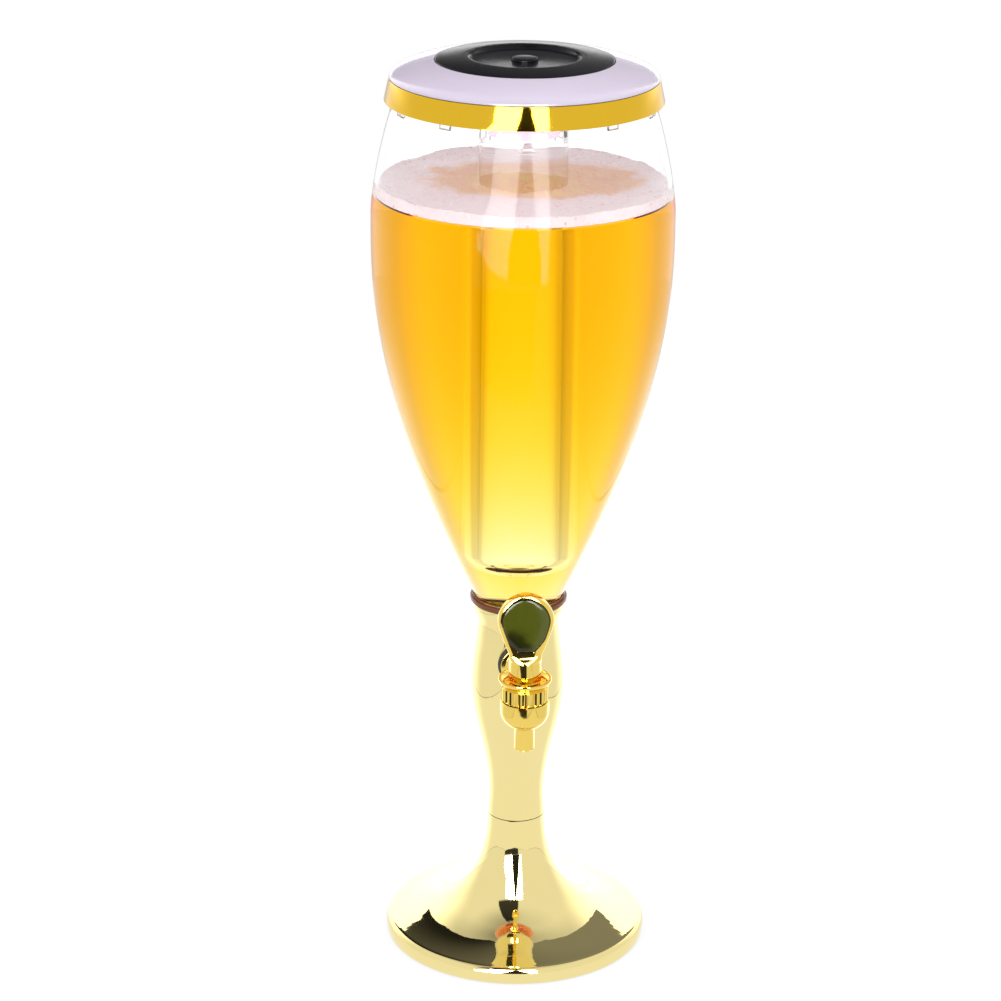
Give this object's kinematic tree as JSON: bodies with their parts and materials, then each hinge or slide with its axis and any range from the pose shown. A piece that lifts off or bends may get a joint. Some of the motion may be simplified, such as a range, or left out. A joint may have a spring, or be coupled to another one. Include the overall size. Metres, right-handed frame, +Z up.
{
  "type": "beer tower dispenser",
  "caption": "Tall clear goblet bowl on a gold plated stem and round foot, with a self-closing lever tap, a bayonet ice tube and a domed lid with a light button.",
  "frame": {"origin": "centre of the non-slip pad's underside, on the tower's axis, on the table", "axes": "+Z up along the tower's axis; -Y towards the user, the way the tap points; +X to the right seen from the tap side"},
  "size_m": [0.1768, 0.1999, 0.5534],
  "materials": {
    "non_slip_pad": "matt",
    "base_plate": "fine matt",
    "base_screw_1": "bright",
    "base_screw_2": "bright",
    "base_screw_3": "bright",
    "base_screw_4": "bright",
    "foot_weight": "as cast",
    "foot_shell": "champagne-gold vacuum plating, mirror",
    "stem_column": "champagne-gold vacuum plating, mirror",
    "reservoir_cup": "plain",
    "neck_seal": "dark, soft",
    "bowl": "clear, polished",
    "tap_body": "gold vacuum plating, mirror",
    "tap_gasket": "matt",
    "tap_inner_washer": "translucent silicone",
    "tap_lock_nut": "plain",
    "tap_bonnet": "gold vacuum plating, mirror",
    "valve_spring": "bright",
    "lid_ring": "clear, polished",
    "lid_dome": "lavender pearl",
    "lid_band": "gold vacuum plating, mirror",
    "battery_tray": "black, satin gloss",
    "battery_1": "printed film jacket, bare here",
    "battery_2": "printed film jacket, bare here",
    "battery_3": "printed film jacket, bare here",
    "battery_contact_left": "bright",
    "battery_contact_right": "bright",
    "circuit_board": "solder mask",
    "push_switch": "black, satin gloss",
    "button_spring": "bright",
    "tube_plug": "clear, polished",
    "plug_seal": "translucent silicone",
    "lamp_lens": "frosted, faint pink",
    "led_board": "solder mask",
    "led_1": "clear, polished",
    "led_2": "clear, polished",
    "led_3": "clear, polished",
    "lid_screw_1": "bright",
    "lid_screw_2": "bright",
    "lid_screw_3": "bright",
    "centre_cap": "black, satin gloss",
    "light_button": "black, satin gloss",
    "ice_tube": "clear, polished",
    "valve_stem": "bright",
    "valve_seal": "translucent silicone",
    "handle_pin": "bright",
    "tap_handle": "gold vacuum plating, mirror",
    "handle_insert": "dark green, domed gloss"
  },
  "bodies": {
    "tower": {"non_slip_pad": "non_slip_pad", "base_plate": "base_plate", "base_screw_1": "base_screw_1", "base_screw_2": "base_screw_2", "base_screw_3": "base_screw_3", "base_screw_4": "base_screw_4", "foot_weight": "foot_weight", "foot_shell": "foot_shell", "stem_column": "stem_column", "reservoir_cup": "reservoir_cup", "neck_seal": "neck_seal", "bowl": "bowl", "tap_body": "tap_body", "tap_gasket": "tap_gasket", "tap_inner_washer": "tap_inner_washer", "tap_lock_nut": "tap_lock_nut", "tap_bonnet": "tap_bonnet", "valve_spring": "valve_spring"},
    "lid": {"lid_ring": "lid_ring", "lid_dome": "lid_dome", "lid_band": "lid_band", "battery_tray": "battery_tray", "battery_1": "battery_1", "battery_2": "battery_2", "battery_3": "battery_3", "battery_contact_left": "battery_contact_left", "battery_contact_right": "battery_contact_right", "circuit_board": "circuit_board", "push_switch": "push_switch", "button_spring": "button_spring", "tube_plug": "tube_plug", "plug_seal": "plug_seal", "lamp_lens": "lamp_lens", "led_board": "led_board", "led_1": "led_1", "led_2": "led_2", "led_3": "led_3", "lid_screw_1": "lid_screw_1", "lid_screw_2": "lid_screw_2", "lid_screw_3": "lid_screw_3"},
    "cap": {"centre_cap": "centre_cap"},
    "button": {"light_button": "light_button"},
    "ice_tube": {"ice_tube": "ice_tube"},
    "valve": {"valve_stem": "valve_stem", "valve_seal": "valve_seal", "handle_pin": "handle_pin"},
    "handle": {"tap_handle": "tap_handle", "handle_insert": "handle_insert"}
  },
  "joints": [
    {"name": "lid_lift", "type": "slide", "parent": "tower", "child": "lid", "axis": [0, 0, 1], "range_m": [0, 0.3]},
    {"name": "tube_twist", "type": "hinge", "parent": "lid", "child": "ice_tube", "pos_m": [0, 0, 0.5], "axis": [0, 0, 1], "range_deg": [0, 25]},
    {"name": "cap_twist", "type": "hinge", "parent": "lid", "child": "cap", "pos_m": [0, 0, 0.5495], "axis": [0, 0, 1], "range_deg": [0, 30]},
    {"name": "button_press", "type": "slide", "parent": "cap", "child": "button", "axis": [0, 0, -1], "range_m": [0, 0.0012], "stiffness_N_per_m": 240, "springref_m": -0.001, "deforming": ["button_spring"]},
    {"name": "valve_lift", "type": "slide", "parent": "tower", "child": "valve", "axis": [0, 0, 1], "range_m": [0, 0.0042], "deforming": ["valve_spring"]},
    {"name": "handle_tilt", "type": "hinge", "parent": "valve", "child": "handle", "pos_m": [0, -0.096, 0.2114], "axis": [1, 0, 0], "range_deg": [0, 35], "stiffness_Nm_per_rad": 0.0134, "springref_deg": -26.36}
  ],
  "couplings": [
    {"joint": "valve_lift", "follows": "handle_tilt", "m_per_rad": 0.0066}
  ]
}
